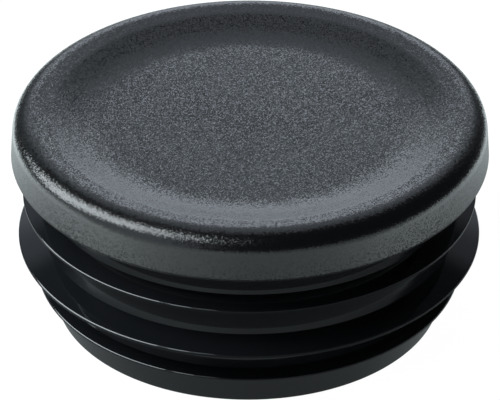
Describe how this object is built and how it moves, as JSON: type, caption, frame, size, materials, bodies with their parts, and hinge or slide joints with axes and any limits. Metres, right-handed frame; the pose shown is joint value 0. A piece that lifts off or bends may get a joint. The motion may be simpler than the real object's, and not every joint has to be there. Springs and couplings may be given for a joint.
{
  "type": "tube end cap",
  "caption": "Push-in end cap for a round tube: a dished round head over a hollow plug ringed by thin gripping fins.",
  "frame": {"origin": "centre of the open lower end, on the surface that the cap stands on", "axes": "+Z along the cap's axis, from the open end towards the head"},
  "size_m": [0.06, 0.06, 0.0268],
  "materials": {
    "black_plastic": "fine-grained matte head, glossy core and fins"
  },
  "bodies": {
    "root": {"end_cap": "black_plastic"}
  },
  "joints": []
}
